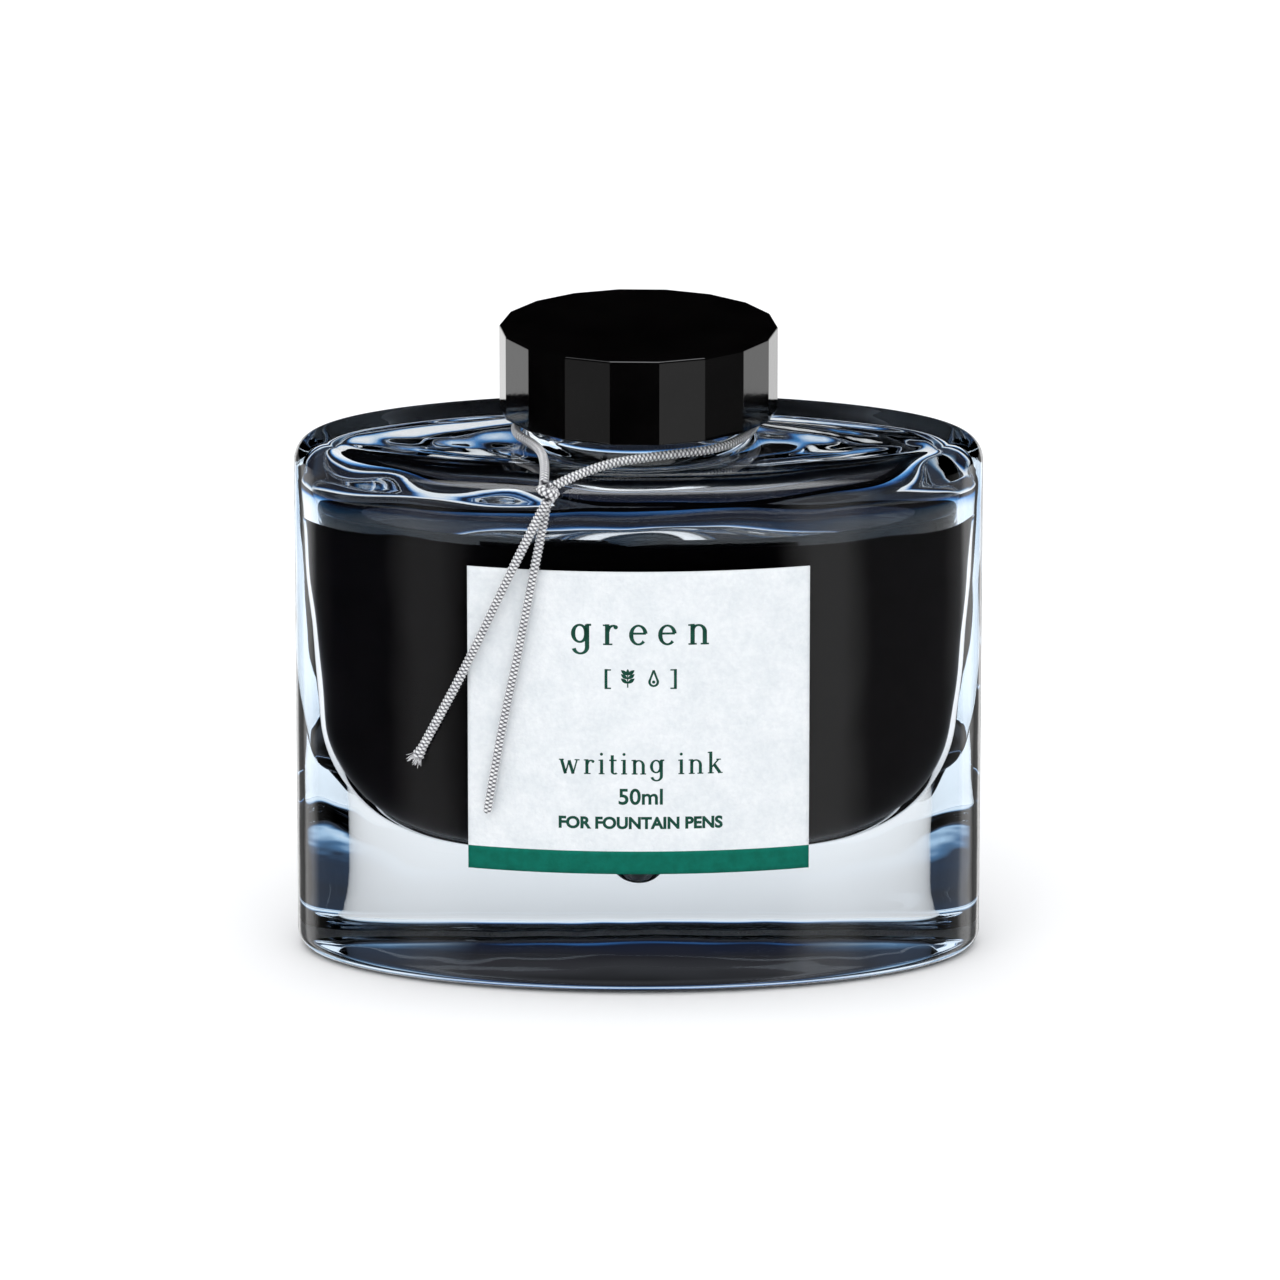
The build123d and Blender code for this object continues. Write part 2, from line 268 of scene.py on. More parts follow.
def bottle_rings(angle):
    """The glass as one skin: up the outside from the hollow base, over the lip and down the inside."""
    share = np.linspace(0, 1, 15)[1:, None]
    a, b = HALF_WIDTH, HALF_DEPTH
    parts = []

    def add(across, deep, z):
        parts.append(ellipse_rings(column(across), column(deep), column(z), angle))

    add((a - REST_RING) * share, (b - REST_RING) * share, PUNT_RISE * (1 - share**2))
    inset = np.linspace(REST_RING - 0.5, HEEL, 4)
    add(a - inset, b - inset, 0 * inset)
    out, up = arc((0, HEEL), HEEL, -80, 0, 9)
    add(a - HEEL + out, b - HEEL + out, up)
    z = np.linspace(HEEL, SHOULDER_Z - RIM, 30)[1:-1]
    add(a + 0 * z, b + 0 * z, z)
    out, up = arc((0, SHOULDER_Z - RIM), RIM, 0, 90, 14)
    add(a - RIM + out, b - RIM + out, up)
    foot = NECK_RADIUS + NECK_FLARE
    mix = between(18)
    across, deep = ((half - RIM) * (1 - mix) + foot * mix for half in (a, b))
    add(across, deep, SHOULDER_Z + 0 * mix)
    r, z = arc((foot, SHOULDER_Z + NECK_FLARE), NECK_FLARE, 270, 180, 8)
    add(r, r, z)
    z = np.linspace(SHOULDER_Z + NECK_FLARE, LIP_Z - LIP_ROUNDING, 58)[1:-1, None]
    r = NECK_RADIUS + thread_height(angle[None, :], z)
    add(r, r, z)
    r, z = arc((NECK_RADIUS - LIP_ROUNDING, LIP_Z - LIP_ROUNDING), LIP_ROUNDING, 0, 90, 6)
    add(r, r, z)
    r, z = arc((MOUTH_RADIUS + LIP_ROUNDING, LIP_Z - LIP_ROUNDING), LIP_ROUNDING, 90, 180, 6)
    add(r, r, z)
    z = np.linspace(LIP_Z - LIP_ROUNDING, CHAMBER_TOP_Z + MOUTH_FLARE, 14)[1:-1]
    add(MOUTH_RADIUS + 0 * z, MOUTH_RADIUS + 0 * z, z)
    r, z = arc((MOUTH_EDGE, CHAMBER_TOP_Z + MOUTH_FLARE), MOUTH_FLARE, 180, 270, 8)
    add(r, r, z)
    parts.append(inside_rings(angle))
    return np.concatenate(parts)


def inside_profile():
    """The half-widths, half-depths and heights of the inside's rings: from the mouth's edge across the
    ceiling, down the wall, across the floor and into the well. The mouth and the well are round."""
    x, z = chamber_profile()
    y = x * CHAMBER_SQUASH
    well, well_z = well_profile()
    roof, floor = between(14), between(10)
    wide = [MOUTH_EDGE + (x[0] - MOUTH_EDGE) * roof, x, x[-1] + (WELL_RADIUS - x[-1]) * floor, well]
    deep = [MOUTH_EDGE + (y[0] - MOUTH_EDGE) * roof, y, y[-1] + (WELL_RADIUS - y[-1]) * floor, well]
    high = [CHAMBER_TOP_Z + 0 * roof, z, FLOOR_Z + 0 * floor, well_z]
    return [np.concatenate(part)[:, None] for part in (wide, deep, high)]


def inside_rings(angle, grow=0.0, below=None):
    """The inside's rings with its slow waves, which die away towards the mouth and the well. The rings can
    be grown outwards, and kept only below a height."""
    wide, deep, high = inside_profile()
    if below is not None:
        keep = high[:, 0] < below
        wide, deep, high = wide[keep], deep[keep], high[keep]
    calm = np.clip((wide - MOUTH_EDGE) / WAVE_START, 0, 1) * np.clip((high - WAVE_LOW_Z) / WAVE_CLIMB, 0, 1)
    roof = np.clip((high - CHAMBER_TOP_Z + ROOF_FADE) / ROOF_FADE, 0, 1)
    stray = WAVE * calm * inside_waves(angle[None, :], high - wide)
    across, deep = wide + grow + stray, deep + grow + WAVE_DEPTH * stray
    return ellipse_rings(across, deep, high + WAVE_ROOF * roof * stray - grow, angle)


def ring_angles():
    return np.linspace(0, 2 * math.pi, AROUND, endpoint=False)


# ---------------------------------------------------------------- material tools


def node(tree, kind, **values):
    """A new node with the given properties and unlinked inputs."""
    made = tree.nodes.new(kind)
    for key, value in values.items():
        if hasattr(made, key):
            setattr(made, key, value)
        else:
            made.inputs[key.replace("_", " ")].default_value = value
    return made


def ramp(tree, stops, source):
    """A colour ramp with the given (place, colour) stops. A plain number is a grey."""
    made = node(tree, "ShaderNodeValToRGB")
    elements = made.color_ramp.elements
    while len(elements) < len(stops):
        elements.new(0.5)
    for element, (place, colour) in zip(elements, stops):
        element.position = place
        element.color = (*colour, 1) if isinstance(colour, tuple) else (colour, colour, colour, 1)
    tree.links.new(source, made.inputs["Fac"])
    return made.outputs["Color"]


def reckon(tree, operation, *values):
    """A maths node. Values are numbers or sockets."""
    made = node(tree, "ShaderNodeMath", operation=operation)
    for socket, value in zip(made.inputs, values):
        if isinstance(value, (int, float)):
            socket.default_value = value
        else:
            tree.links.new(value, socket)
    return made.outputs[0]


def blended(tree, factor, first, second, kind="MIX"):
    """Two colours mixed by a factor. Each of the three is a value or a socket."""
    made = node(tree, "ShaderNodeMix", data_type="RGBA", blend_type=kind)
    sockets = (made.inputs["Factor"], made.inputs[6], made.inputs[7])
    for socket, value in zip(sockets, (factor, first, second)):
        if isinstance(value, (int, float, tuple)):
            socket.default_value = value
        else:
            tree.links.new(value, socket)
    return made.outputs[2]


def multiplied(tree, first, second, factor=1.0):
    return blended(tree, factor, first, second, "MULTIPLY")


def effect(name, inputs, outputs, build):
    """A node group that several materials share. Inputs are (name, kind, value), outputs (name, kind)."""
    group = bpy.data.node_groups.new(name, "ShaderNodeTree")
    for label, kind, value in inputs:
        group.interface.new_socket(label, in_out="INPUT", socket_type=kind).default_value = value
    for label, kind in outputs:
        group.interface.new_socket(label, in_out="OUTPUT", socket_type=kind)
    build(group, group.nodes.new("NodeGroupInput").outputs, group.nodes.new("NodeGroupOutput").inputs)
    return group


def build_mottle(group, given, out):
    """Mixes two colours by a cloudy noise."""
    where = node(group, "ShaderNodeTexCoord")
    cloud = node(group, "ShaderNodeTexNoise", Detail=3.0, Roughness=0.6)
    spread = node(group, "ShaderNodeMapRange", From_Min=0.35, From_Max=0.65)
    group.links.new(where.outputs["Object"], cloud.inputs["Vector"])
    group.links.new(given["Scale"], cloud.inputs["Scale"])
    group.links.new(cloud.outputs["Fac"], spread.inputs["Value"])
    colour = blended(group, spread.outputs["Result"], given["Dark"], given["Light"])
    group.links.new(colour, out["Color"])


def build_grain(group, given, out):
    """A fine surface texture: noise as a height, and a roughness that follows a coarser noise."""
    where = node(group, "ShaderNodeTexCoord")
    fine = node(group, "ShaderNodeTexNoise", Detail=2.0)
    coarse = node(group, "ShaderNodeTexNoise", Detail=2.0)
    rough = node(group, "ShaderNodeMapRange", From_Min=0.3, From_Max=0.7)
    bump = node(group, "ShaderNodeBump", Distance=0.0005)
    group.links.new(given["Scale"], fine.inputs["Scale"])
    group.links.new(reckon(group, "MULTIPLY", given["Scale"], 0.12), coarse.inputs["Scale"])
    for noise in (fine, coarse):
        group.links.new(where.outputs["Object"], noise.inputs["Vector"])
    group.links.new(coarse.outputs["Fac"], rough.inputs["Value"])
    group.links.new(given["Smoothest"], rough.inputs["To Min"])
    group.links.new(given["Roughest"], rough.inputs["To Max"])
    group.links.new(fine.outputs["Fac"], bump.inputs["Height"])
    group.links.new(given["Strength"], bump.inputs["Strength"])
    group.links.new(rough.outputs["Result"], out["Roughness"])
    group.links.new(bump.outputs["Normal"], out["Normal"])


COLOUR, NUMBER, DIRECTION = "NodeSocketColor", "NodeSocketFloat", "NodeSocketVector"
MOTTLE = effect(
    "mottle",
    [("Scale", NUMBER, 200.0), ("Dark", COLOUR, (0, 0, 0, 1)), ("Light", COLOUR, (1, 1, 1, 1))],
    [("Color", COLOUR)],
    build_mottle,
)
GRAIN = effect(
    "grain",
    [
        ("Scale", NUMBER, 2000.0),
        ("Strength", NUMBER, 0.1),
        ("Smoothest", NUMBER, 0.3),
        ("Roughest", NUMBER, 0.4),
    ],
    [("Roughness", NUMBER), ("Normal", DIRECTION)],
    build_grain,
)


def material(name, **values):
    """A new material with its Principled shader set by socket name."""
    made = bpy.data.materials.new(name)
    made.use_nodes = True
    shader = made.node_tree.nodes["Principled BSDF"]
    for socket, value in values.items():
        shader.inputs[socket.replace("_", " ")].default_value = value
    return made, made.node_tree, shader


def use_group(tree, group, **values):
    """One use of a shared effect, with its own values."""
    made = node(tree, "ShaderNodeGroup")
    made.node_tree = group
    for socket, value in values.items():
        made.inputs[socket].default_value = value
    return made


def finish_with(tree, shader, mottle=None, grain=None):
    """Feeds a shader from the shared mottle and grain effects, each with its own values."""
    if mottle:
        cloud = use_group(tree, MOTTLE, **mottle)
        tree.links.new(cloud.outputs["Color"], shader.inputs["Base Color"])
    if grain:
        surface = use_group(tree, GRAIN, **grain)
        tree.links.new(surface.outputs["Roughness"], shader.inputs["Roughness"])
        tree.links.new(surface.outputs["Normal"], shader.inputs["Normal"])


GLASS_IOR = 1.52
INK_IOR = 1.34


def glass_material():
    """Clear glass with a faint blue body and slow waves left by the mould."""
    made, tree, shader = material(
        "clear_glass",
        Base_Color=(0.985, 0.995, 1.0, 1),
        Roughness=0.0,
        IOR=GLASS_IOR,
        Transmission_Weight=1.0,
    )
    where = node(tree, "ShaderNodeTexCoord")
    noise = node(tree, "ShaderNodeTexNoise", Scale=90, Detail=1.0)
    bump = node(tree, "ShaderNodeBump", Strength=0.08, Distance=0.002)
    tree.links.new(where.outputs["Object"], noise.inputs["Vector"])
    tree.links.new(noise.outputs["Fac"], bump.inputs["Height"])
    tree.links.new(bump.outputs["Normal"], shader.inputs["Normal"])
    volume = node(tree, "ShaderNodeVolumeAbsorption", Color=(0.5, 0.78, 1.0, 1), Density=5.0)
    tree.links.new(volume.outputs["Volume"], tree.nodes["Material Output"].inputs["Volume"])
    return made


INK_TONES = dict(Scale=60.0, Dark=(0.0055, 0.0042, 0.0055, 1), Light=(0.0085, 0.006, 0.0078, 1))


def ink_material():
    """Opaque ink against the glass. At a low angle through the glass, the boundary mirrors like silver."""
    made, tree, shader = material("dark_ink", Specular_IOR_Level=0.0, Roughness=0.02)
    cloud = use_group(tree, MOTTLE, **INK_TONES)
    mirror = node(tree, "ShaderNodeFresnel", IOR=INK_IOR / GLASS_IOR).outputs["Fac"]
    colour = blended(tree, mirror, cloud.outputs["Color"], (0.95, 0.97, 1.0, 1))
    tree.links.new(colour, shader.inputs["Base Color"])
    tree.links.new(mirror, shader.inputs["Metallic"])
    return made


def ink_surface_material():
    """The ink's open surface, still and glossy."""
    made, tree, shader = material("ink_surface", IOR=INK_IOR, Roughness=0.02, Specular_IOR_Level=0.2)
    finish_with(tree, shader, mottle=INK_TONES)
    return made


def paper_material():
    """Soft uncoated paper: faint clouds, sparse grey flecks and a felt-like surface."""
    made, tree, shader = material("label_paper", Specular_IOR_Level=0.25)
    finish_with(tree, shader, grain=dict(Scale=2600.0, Strength=0.22, Smoothest=0.6, Roughest=0.8))
    cloud = use_group(tree, MOTTLE, Scale=260.0, Dark=(0.73, 0.765, 0.785, 1), Light=(0.80, 0.825, 0.84, 1))
    fleck = use_group(tree, MOTTLE, Scale=1500.0, Dark=(1, 1, 1, 1), Light=(0.86, 0.87, 0.89, 1))
    colour = multiplied(tree, cloud.outputs["Color"], fleck.outputs["Color"], factor=0.5)
    tree.links.new(colour, shader.inputs["Base Color"])
    return made


def print_material(name, dark, light):
    """Printing ink on paper, a little uneven in its cover."""
    made, tree, shader = material(name, Specular_IOR_Level=0.12)
    finish_with(
        tree,
        shader,
        mottle=dict(Scale=900.0, Dark=(*dark, 1), Light=(*light, 1)),
        grain=dict(Scale=2600.0, Strength=0.15, Smoothest=0.45, Roughest=0.65),
    )
    return made


def cap_material():
    """Polished black plastic with hair-fine handling marks."""
    made, tree, shader = material("black_cap", IOR=1.5)
    finish_with(
        tree,
        shader,
        mottle=dict(Scale=150.0, Dark=(0.0008, 0.0007, 0.0008, 1), Light=(0.0018, 0.0016, 0.0017, 1)),
        grain=dict(Scale=1200.0, Strength=0.012, Smoothest=0.03, Roughest=0.10),
    )
    return made


def moulded_material(name, dark, light, roughness):
    """Plain moulded plastic or foam: two close tones and a fine grain."""
    made, tree, shader = material(name)
    finish_with(
        tree,
        shader,
        mottle=dict(Scale=300.0, Dark=(*dark, 1), Light=(*light, 1)),
        grain=dict(Scale=3000.0, Strength=0.2, Smoothest=roughness, Roughest=roughness + 0.12),
    )
    return made


def cord_material():
    """Silver yarn whose colour follows the cord's own weave height: painted highlight on top of each strand,
    painted shade in the grooves.
    """
    made, tree, shader = material("silver_yarn", Metallic=0.05, Specular_IOR_Level=0.4)
    height = node(tree, "ShaderNodeAttribute", attribute_name="weave")
    # The ramp paints shade, near black, into the grooves and a highlight, white, onto the strands' tops.
    stops = [(0.30, (0.035, 0.035, 0.04)), (0.56, (0.36, 0.36, 0.38)), (0.85, 1.0)]
    painted_shade_and_highlight = ramp(tree, stops, height.outputs["Fac"])
    cloud = use_group(tree, MOTTLE, Scale=1200.0, Dark=(0.80, 0.80, 0.82, 1), Light=(1, 1, 1, 1))
    tree.links.new(multiplied(tree, painted_shade_and_highlight, cloud.outputs["Color"]), shader.inputs["Base Color"])
    finish_with(tree, shader, grain=dict(Scale=9000.0, Strength=0.35, Smoothest=0.32, Roughest=0.5))
    return made


# ---------------------------------------------------------------- bottle and ink


def make_bottle():
    points, faces = skin_over_rings(bottle_rings(ring_angles()), on_axis(PUNT_RISE), on_axis(WELL_LOW_Z))
    obj = solid("bottle", points, faces, glass_material(), "bottle", "glass")
    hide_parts("glass_bottle")


# How the ink climbs the glass at its edge: each ring's share of the surface's width, and its rise.
MENISCUS = [
    (0.3, 0), (0.6, 0), (0.85, 0), (0.92, 0.02), (0.95, 0.08), (0.975, 0.2), (0.99, 0.42), (1.0, 0.75),
]


def make_ink():
    """The ink: a still surface that climbs the glass at its edge, and the inside's skin below it, grown a
    little into the glass."""
    angle = ring_angles()
    rings = inside_rings(angle, grow=INK_OVERLAP, below=INK_Z)
    share, climb = np.array(MENISCUS).T
    top = np.empty((len(MENISCUS), AROUND, 3))
    top[..., :2] = rings[:1, :, :2] * share[:, None, None]
    top[..., 2] = INK_Z * MM + climb[:, None] * MM
    rings = np.concatenate([top, rings])
    points, faces = skin_over_rings(rings, on_axis(INK_Z), on_axis(WELL_LOW_Z - INK_OVERLAP))
    outwards = [face[::-1] for face in faces]
    obj = solid("ink", points, outwards, ink_material(), "bottle", "ink")
    obj.data.materials.append(ink_surface_material())
    height = np.array([face.center.z for face in obj.data.polygons])
    obj.data.polygons.foreach_set("material_index", (height > INK_Z * MM).astype(np.int32))
    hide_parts("ink_fill")


# ---------------------------------------------------------------- label


def on_wall(x, z, stand_off):
    """Points at width x and height z on the front wall, moved out from it. The wall is an ellipse, so its
    outward direction is (x / a^2, y / b^2)."""
    y = -HALF_DEPTH * np.sqrt(1 - (x / HALF_WIDTH) ** 2)
    out = np.stack([x / HALF_WIDTH**2, y / HALF_DEPTH**2], -1)
    out = out / np.linalg.norm(out, axis=-1, keepdims=True)
    return np.stack([x + out[..., 0] * stand_off, y + out[..., 1] * stand_off, z], -1) * MM


PAPER_IN = 0.015  # distances from the glass
PAPER_OUT = 0.12
PRINT_IN = PAPER_OUT - 0.005
PRINT_OUT = 0.128
LABEL_LEFT, LABEL_RIGHT = LABEL[0].x / MM, LABEL[1].x / MM
LABEL_LOW, LABEL_HIGH = LABEL[0].z / MM, LABEL[1].z / MM
BAND_HEIGHT = 2.75


def wall_patch(x, z, outer, inner):
    """A thin closed patch that follows the front wall, over a grid of widths and heights."""
    x, z = np.broadcast_arrays(x, z)
    return slab(on_wall(x, z, outer), on_wall(x, z, inner))


def make_label(look):
    x = np.linspace(LABEL_LEFT, LABEL_RIGHT, 81)[None, :]
    z = np.linspace(LABEL_LOW, LABEL_HIGH, 61)[:, None]
    obj = solid("label", *wall_patch(x, z, PAPER_OUT, PAPER_IN), look, "bottle", "label")
    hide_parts("front_label")


def make_band(look):
    x = np.linspace(LABEL_LEFT, LABEL_RIGHT, 81)[None, :]
    z = np.linspace(LABEL_LOW, LABEL_LOW + BAND_HEIGHT, 6)[:, None]
    solid("label_band", *wall_patch(x, z, PRINT_OUT, PAPER_OUT), look, "bottle", "label")


def gathered(patches):
    """Several (points, faces) as one."""
    points, faces, count = [], [], 0
    for some, their_faces in patches:
        points.append(some)
        faces += [[i + count for i in face] for face in their_faces]
        count += len(some)
    return np.concatenate(points), faces


def bar(x0, y0, x1, y1, width):
    """A straight pen stroke, as its left and right edges."""
    line = np.linspace((x0, y0), (x1, y1), 4)
    across = np.array([y0 - y1, x1 - x0]) / math.hypot(x1 - x0, y1 - y0) * width / 2
    return line + across, line - across


def bow(cx, cy, rx, ry, start, end, thin, thick):
    """A stroke along an ellipse, thin where it runs level and thick where it runs upright."""
    angle = np.radians(np.linspace(start, end, 24))
    out = np.stack([np.cos(angle), np.sin(angle)], -1)
    half = (thin + (thick - thin) * np.cos(angle) ** 2)[:, None] / 2
    line = np.array([cx, cy]) + out * np.array([rx, ry])
    return line + out * half, line - out * half


def dot(x, y, radius):
    """A round dot, as its upper and lower edges."""
    angle = np.radians(np.linspace(179, 1, 12))
    wide, high = radius * np.cos(angle), radius * np.sin(angle)
    return np.stack([x + wide, y + high], -1), np.stack([x + wide, y - high], -1)


# Widths of a letter's strokes, for an x-height of 1.
STEM, HAIR, SERIF = 0.20, 0.10, 0.075


def serif(x, y, left, right):
    """A level serif that reaches left and right of its stem."""
    return bar(x - left, y, x + right, y, SERIF)


# Each letter's width, then its strokes, for an x-height of 1.
LETTERS = {
    "e": (0.86, [bow(0.42, 0.49, 0.33, 0.45, 8, 318, HAIR, STEM), bar(0.12, 0.56, 0.76, 0.56, HAIR)]),
    "g": (0.95, [
        bow(0.4, 0.54, 0.3, 0.41, 0, 360, HAIR, STEM), bar(0.74, 0.98, 0.74, -0.1, STEM),
        bow(0.43, -0.1, 0.31, 0.32, 0, -165, HAIR, STEM), bar(0.7, 0.96, 0.93, 0.96, HAIR),
    ]),
    "i": (0.5, [
        bar(0.24, 0, 0.24, 1, STEM), serif(0.24, 0.04, 0.19, 0.19), serif(0.2, 0.95, 0.16, 0),
        dot(0.23, 1.36, 0.1),
    ]),
    "k": (1.02, [
        bar(0.24, 0, 0.24, 1.48, STEM), serif(0.24, 0.04, 0.19, 0.19), serif(0.2, 1.43, 0.16, 0),
        bar(0.3, 0.42, 0.74, 0.95, HAIR), bar(0.45, 0.62, 0.84, 0.04, STEM),
        serif(0.74, 0.95, 0.14, 0.16), serif(0.86, 0.04, 0.16, 0.15),
    ]),
    "n": (1.06, [
        bar(0.24, 0, 0.24, 1, STEM), serif(0.24, 0.04, 0.19, 0.19), serif(0.2, 0.95, 0.16, 0),
        bow(0.51, 0.6, 0.29, 0.34, 165, 0, HAIR, STEM), bar(0.8, 0.62, 0.8, 0, STEM),
        serif(0.8, 0.04, 0.19, 0.19),
    ]),
    "r": (0.78, [
        bar(0.24, 0, 0.24, 1, STEM), serif(0.24, 0.04, 0.19, 0.24), serif(0.2, 0.95, 0.16, 0),
        bow(0.53, 0.58, 0.28, 0.35, 165, 75, HAIR, STEM), dot(0.63, 0.86, 0.1),
    ]),
    "t": (0.62, [
        bar(0.26, 0.2, 0.26, 1.3, STEM), bar(0.06, 0.95, 0.54, 0.95, HAIR),
        bow(0.42, 0.21, 0.16, 0.17, 180, 320, HAIR, STEM),
    ]),
    "w": (1.42, [
        bar(0.18, 0.98, 0.44, 0, STEM), bar(0.44, 0, 0.68, 0.9, HAIR), bar(0.68, 0.9, 0.94, 0, STEM),
        bar(0.94, 0, 1.2, 0.98, HAIR), serif(0.18, 0.95, 0.16, 0.16), serif(1.2, 0.95, 0.16, 0.16),
    ]),
    " ": (0.5, []),
}

TEXT_SHIFT = 0.25  # the print's middle, to the right of the bottle's
MOTIF_Z, MOTIF_SIZE = LABEL_LOW + 23.56, 2.4
# The serif lines: baseline, x-height and width.
NAME_LINE = (LABEL_LOW + 27.64, 2.5, 16.0)
KIND_LINE = (LABEL_LOW + 12.08, 1.78, 18.9)
# The plain lines: baseline, width and how far the strokes are thickened.
VOLUME_LINE = (LABEL_LOW + 8.48, 5.1, 0.02)
USE_LINE = (LABEL_LOW + 5.55, 18.9, 0.04)


def printed(edges, x, z, size):
    """One stroke as a thin closed patch on the label, from its two edges in letter units."""
    one, two = edges
    grid = np.stack([one, (one + two) / 2, two], 1) * size
    flat_x, flat_z = x + grid[..., 0], z + grid[..., 1]
    facing = np.cross(grid[1, 0] - grid[0, 0], grid[0, 2] - grid[0, 0])
    if facing > 0:
        flat_x, flat_z = flat_x[:, ::-1], flat_z[:, ::-1]
    return slab(on_wall(flat_x, flat_z, PRINT_OUT), on_wall(flat_x, flat_z, PRINT_IN))


def word(text, baseline, x_height, width):
    """Serif letters centred on the label and spaced out to the given width."""
    natural = sum(LETTERS[letter][0] for letter in text) * x_height
    space = (width - natural) / (len(text) - 1)
    x, patches = -width / 2 + TEXT_SHIFT, []
    for letter in text:
        wide, strokes = LETTERS[letter]
        patches += [printed(stroke, x, baseline, x_height) for stroke in strokes]
        x += wide * x_height + space
    return patches


def leaf(x, y, length, turn):
    """A pointed leaf: two mirrored half-sine edges along a line turned by an angle in degrees."""
    share = np.linspace(0.02, 0.98, 10)
    along, side = length * share, 0.22 * length * np.sin(math.pi * share)
    c, s = math.cos(math.radians(turn)), math.sin(math.radians(turn))
    one = np.stack([x + c * along - s * side, y + s * along + c * side], -1)
    two = np.stack([x + c * along + s * side, y + s * along - c * side], -1)
    return one, two


def motif():
    """A sprig and a drop between two heavy square brackets, one unit high."""
    strokes = []
    for side in (-1, 1):
        strokes.append(bar(side * 1.66, -0.5, side * 1.66, 0.5, 0.14))
        strokes += [bar(side * 1.72, y, side * 1.42, y, 0.07) for y in (-0.46, 0.46)]
    strokes.append(bar(-0.62, -0.42, -0.62, 0.3, 0.06))
    for height in (-0.22, 0.0, 0.2):
        strokes += [leaf(-0.62, height, 0.42, 38), leaf(-0.62, height, 0.42, 142)]
    strokes.append(leaf(-0.62, 0.18, 0.34, 90))
    strokes.append(bow(0.62, -0.14, 0.2, 0.2, 150, 390, 0.1, 0.12))
    strokes += [bar(0.44, -0.05, 0.62, 0.45, 0.1), bar(0.8, -0.05, 0.62, 0.45, 0.1)]
    strokes.append(dot(0.62, -0.14, 0.08))
    return [printed(stroke, TEXT_SHIFT, MOTIF_Z, MOTIF_SIZE) for stroke in strokes]


def make_words(look):
    patches = word("green", *NAME_LINE) + motif() + word("writing ink", *KIND_LINE)
    solid("label_words", *gathered(patches), look, "bottle", "label", smooth=False)


def make_line(name, text, baseline, width, weight, look):
    """A line of plain lettering, made solid, scaled to its width and then laid on the wall."""
    curve = bpy.data.curves.new(name, "FONT")
    curve.body = text
    curve.align_x = "CENTER"
    curve.extrude = 0.5
    curve.offset = weight
    curve.resolution_u = 6
    source = bpy.data.objects.new(name, curve)
    mesh = bpy.data.meshes.new_from_object(source)
    bpy.data.objects.remove(source)
    flat = np.empty(len(mesh.vertices) * 3)
    mesh.vertices.foreach_get("co", flat)
    flat = flat.reshape(-1, 3)
    size = width / np.ptp(flat[:, 0])
    middle = (flat[:, 0].max() + flat[:, 0].min()) / 2
    thick = np.where(flat[:, 2] > 0, PRINT_OUT, PRINT_IN)
    points = on_wall(TEXT_SHIFT + (flat[:, 0] - middle) * size, baseline + flat[:, 1] * size, thick)
    faces = [list(face.vertices) for face in mesh.polygons]
    merge(solid(name, points, faces, look, "bottle", "label", smooth=False))


def merge(obj):
    """Joins points that lie together and turns the faces outwards."""
    shape = bmesh.new()
    shape.from_mesh(obj.data)
    bmesh.ops.remove_doubles(shape, verts=shape.verts, dist=1e-7)
    bmesh.ops.recalc_face_normals(shape, faces=shape.faces)
    shape.to_mesh(obj.data)
    shape.free()


# ---------------------------------------------------------------- cap

CAP_SIDES = 18
CAP_CLOCKING = -1.65  # degrees from a side that faces the front
CAP_BORE = 14.695
CAP_TOP_WALL = 1.2
FACET_EDGE = 0.35  # rounding between two sides
FACET_KEEP = 0.12  # how close to that rounding a side stays flat
CAP_EDGE = 0.40  # rounding of the top edge
CAP_EDGE_KEEP = 0.15
CAP_LOW, CAP_HIGH = CAP[0].z / MM, CAP[1].z / MM
CAP_FLAT = (CAP[1].x - CAP[0].x) / MM / 2 * math.cos(math.pi / CAP_SIDES)


def facet_outline(inset):
    """Points round the cap, pulled in by inset: flats joined by small arcs, with a point close to each arc
    so that the flats stay flat."""
    flat = CAP_FLAT - inset
    half_turn = math.pi / CAP_SIDES
    straight = (flat - FACET_EDGE) * math.tan(half_turn)
    turn = np.linspace(-half_turn, half_turn, 5)
    corner = (flat - FACET_EDGE) / math.cos(half_turn)
    points = []
    for side in range(CAP_SIDES):
        facing = math.radians(-90 + CAP_CLOCKING) + 2 * half_turn * side
        c, s = math.cos(facing), math.sin(facing)
        for along in (-straight + FACET_KEEP, 0, straight - FACET_KEEP):
            points.append((c * flat - s * along, s * flat + c * along))
        middle = facing + half_turn
        for step in turn:
            points.append((
                corner * math.cos(middle) + FACET_EDGE * math.cos(middle + step),
                corner * math.sin(middle) + FACET_EDGE * math.sin(middle + step),
            ))
    return np.array(points)


